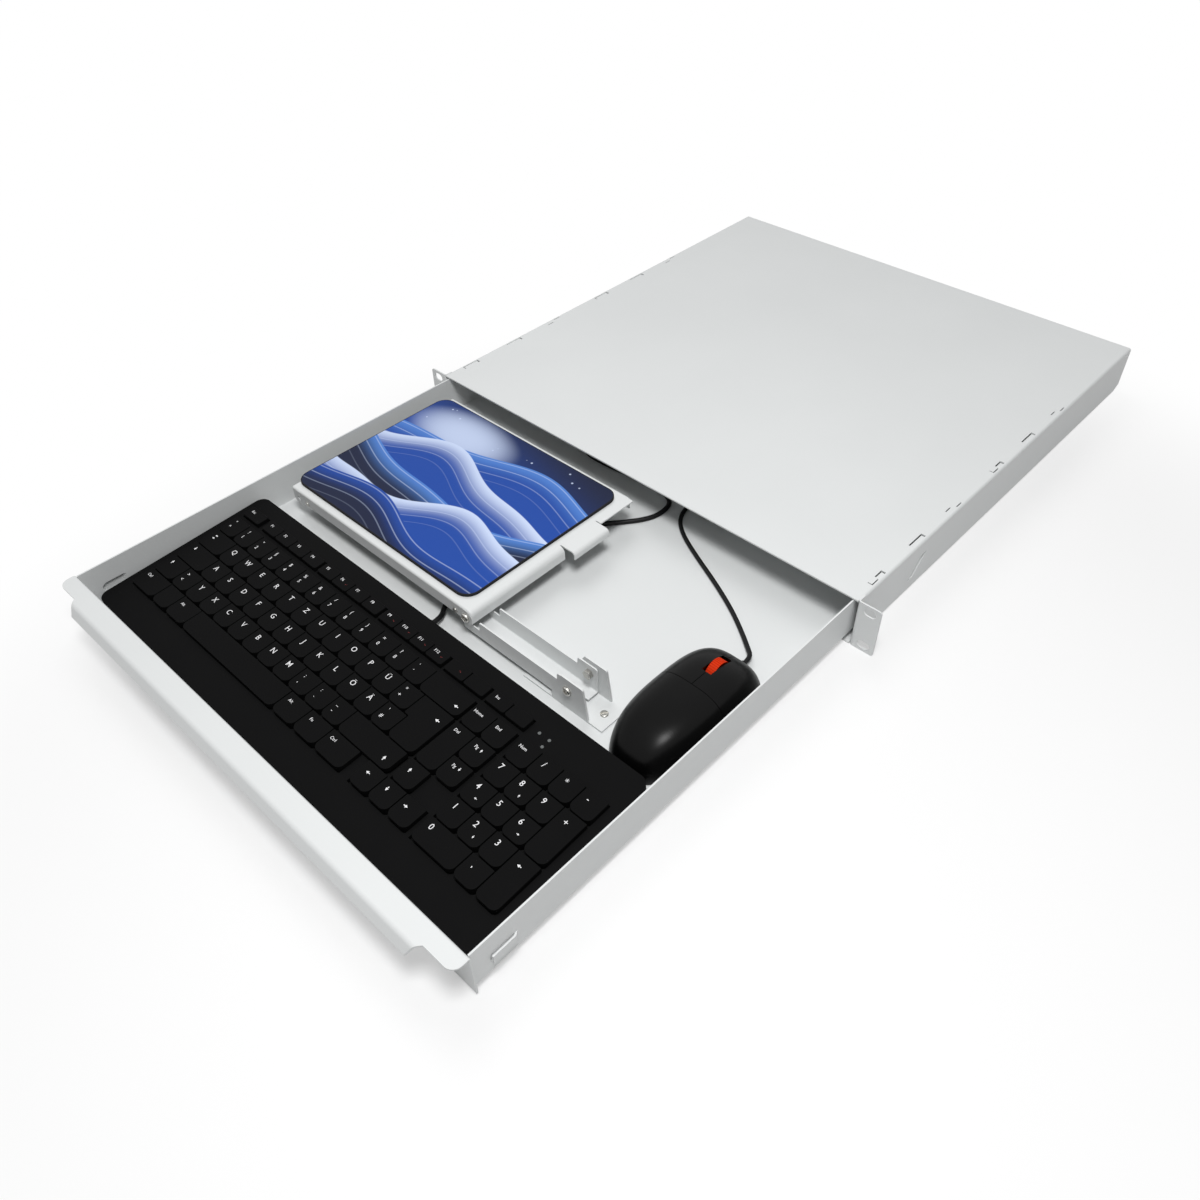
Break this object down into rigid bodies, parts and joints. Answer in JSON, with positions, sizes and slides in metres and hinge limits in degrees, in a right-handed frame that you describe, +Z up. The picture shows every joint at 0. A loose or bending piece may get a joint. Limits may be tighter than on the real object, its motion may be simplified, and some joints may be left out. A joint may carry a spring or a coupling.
{
  "type": "rack keyboard drawer",
  "caption": "Rack-mount sheet-steel drawer on joggled runners, holding a keyboard, a mouse and a mouse tray on a swing arm that folds out over the side.",
  "frame": {"origin": "middle of the four ear slots, on the front face of the rack ears", "axes": "+X to the right seen from the front, +Y into the rack, +Z up"},
  "size_m": [0.4826, 0.836, 0.0436],
  "materials": {
    "paint": "satin powder coat",
    "screw": "nickel plated",
    "pad": "printed cloth on foam",
    "keyboard": "fine grain",
    "keycap": "fine grain with pale legends",
    "switch_plate": "plain",
    "board": "solder mask",
    "lamp": "tinted lens",
    "rubber": "matte",
    "mouse_body": "satin",
    "mouse_cover": "gloss",
    "wheel": "matte",
    "axle": "plain",
    "glide": "smooth",
    "cord": "soft sheath",
    "plug_shell": "nickel plated",
    "tie": "flat band"
  },
  "bodies": {
    "case": {"case_cover": "paint"},
    "arm": {"swing_arm": "paint"},
    "tray": {"mouse_tray": "paint", "tray_hinge_lug": "paint", "tray_hinge_screws": "screw", "tray_hinge_nuts": "screw", "tray_rivets": "screw", "mouse_pad": "pad"},
    "button_left": {"mouse_button_left": "mouse_cover"},
    "button_right": {"mouse_button_right": "mouse_cover"},
    "wheel": {"mouse_wheel": "wheel"},
    "key_arrow_up_cap": {"key_arrow_up": "keycap"},
    "key_backspace_cap": {"key_backspace": "keycap"},
    "key_caps_cap": {"key_caps": "keycap"},
    "key_enter_cap": {"key_enter": "keycap"},
    "key_escape_cap": {"key_escape": "keycap"},
    "key_pad_enter_cap": {"key_pad_enter": "keycap"},
    "key_pad_plus_cap": {"key_pad_plus": "keycap"},
    "key_pad_zero_cap": {"key_pad_zero": "keycap"},
    "key_shift_left_cap": {"key_shift_left": "keycap"},
    "key_shift_right_cap": {"key_shift_right": "keycap"},
    "key_space_cap": {"key_space": "keycap"},
    "key_tab_cap": {"key_tab": "keycap"},
    "drawer": {"arm_pivot_nuts": "screw", "arm_pivot_screws": "screw", "bracket": "paint", "bracket_screws": "screw", "cord_ties": "tie", "drawer_front": "paint", "drawer_pan": "paint", "keyboard_base": "keyboard", "keyboard_board": "board", "keyboard_cord": "cord", "keyboard_cord_coil": "cord", "keyboard_deck": "keyboard", "keyboard_feet": "rubber", "keyboard_lamps": "lamp", "keyboard_plug": "cord", "keyboard_plug_shell": "plug_shell", "keyboard_strain_relief": "cord", "keyboard_switch_plate": "switch_plate", "keys_bottom": "keycap", "keys_digits": "keycap", "keys_function": "keycap", "keys_home": "keycap", "keys_lower": "keycap", "keys_navigation": "keycap", "keys_pad": "keycap", "keys_upper": "keycap", "mouse_axle": "axle", "mouse_base": "mouse_body", "mouse_cord": "cord", "mouse_cord_coil": "cord", "mouse_glides": "glide", "mouse_palm": "mouse_cover", "mouse_plug": "cord", "mouse_plug_shell": "plug_shell", "mouse_strain_relief": "cord"}
  },
  "joints": [
    {"name": "drawer_slide", "type": "slide", "parent": "case", "child": "drawer", "axis": [0, -1, 0], "range_m": [-0.3595, 0]},
    {"name": "arm_swing", "type": "hinge", "parent": "drawer", "child": "arm", "pos_m": [0.1185, -0.174, 0.0045], "axis": [0, 1, 0], "range_deg": [0, 163]},
    {"name": "tray_tilt", "type": "hinge", "parent": "arm", "child": "tray", "pos_m": [0.0155, -0.174, 0.0045], "axis": [0, 1, 0], "range_deg": [0, 17]},
    {"name": "button_left_press", "type": "hinge", "parent": "drawer", "child": "button_left", "pos_m": [0.1835, -0.1356, -0.0027], "axis": [-1, 0, 0], "range_deg": [0, 1.5], "stiffness_Nm_per_rad": 0.9, "springref_deg": -1.15},
    {"name": "button_right_press", "type": "hinge", "parent": "drawer", "child": "button_right", "pos_m": [0.1835, -0.1356, -0.0027], "axis": [-1, 0, 0], "range_deg": [0, 1.5], "stiffness_Nm_per_rad": 0.9, "springref_deg": -1.15},
    {"name": "wheel_roll", "type": "hinge", "parent": "drawer", "child": "wheel", "pos_m": [0.1835, -0.109, 0.0075], "axis": [1, 0, 0], "continuous": true},
    {"name": "key_arrow_up_press", "type": "slide", "parent": "drawer", "child": "key_arrow_up_cap", "axis": [0, 0.052, -0.9986], "range_m": [0, 0.002], "stiffness_N_per_m": 300, "springref_m": -0.0015},
    {"name": "key_backspace_press", "type": "slide", "parent": "drawer", "child": "key_backspace_cap", "axis": [0, 0.052, -0.9986], "range_m": [0, 0.002], "stiffness_N_per_m": 300, "springref_m": -0.0015},
    {"name": "key_caps_press", "type": "slide", "parent": "drawer", "child": "key_caps_cap", "axis": [0, 0.052, -0.9986], "range_m": [0, 0.002], "stiffness_N_per_m": 300, "springref_m": -0.0015},
    {"name": "key_enter_press", "type": "slide", "parent": "drawer", "child": "key_enter_cap", "axis": [0, 0.052, -0.9986], "range_m": [0, 0.002], "stiffness_N_per_m": 300, "springref_m": -0.0015},
    {"name": "key_escape_press", "type": "slide", "parent": "drawer", "child": "key_escape_cap", "axis": [0, 0.052, -0.9986], "range_m": [0, 0.002], "stiffness_N_per_m": 300, "springref_m": -0.0015},
    {"name": "key_pad_enter_press", "type": "slide", "parent": "drawer", "child": "key_pad_enter_cap", "axis": [0, 0.052, -0.9986], "range_m": [0, 0.002], "stiffness_N_per_m": 300, "springref_m": -0.0015},
    {"name": "key_pad_plus_press", "type": "slide", "parent": "drawer", "child": "key_pad_plus_cap", "axis": [0, 0.052, -0.9986], "range_m": [0, 0.002], "stiffness_N_per_m": 300, "springref_m": -0.0015},
    {"name": "key_pad_zero_press", "type": "slide", "parent": "drawer", "child": "key_pad_zero_cap", "axis": [0, 0.052, -0.9986], "range_m": [0, 0.002], "stiffness_N_per_m": 300, "springref_m": -0.0015},
    {"name": "key_shift_left_press", "type": "slide", "parent": "drawer", "child": "key_shift_left_cap", "axis": [0, 0.052, -0.9986], "range_m": [0, 0.002], "stiffness_N_per_m": 300, "springref_m": -0.0015},
    {"name": "key_shift_right_press", "type": "slide", "parent": "drawer", "child": "key_shift_right_cap", "axis": [0, 0.052, -0.9986], "range_m": [0, 0.002], "stiffness_N_per_m": 300, "springref_m": -0.0015},
    {"name": "key_space_press", "type": "slide", "parent": "drawer", "child": "key_space_cap", "axis": [0, 0.052, -0.9986], "range_m": [0, 0.002], "stiffness_N_per_m": 300, "springref_m": -0.0015},
    {"name": "key_tab_press", "type": "slide", "parent": "drawer", "child": "key_tab_cap", "axis": [0, 0.052, -0.9986], "range_m": [0, 0.002], "stiffness_N_per_m": 300, "springref_m": -0.0015}
  ]
}
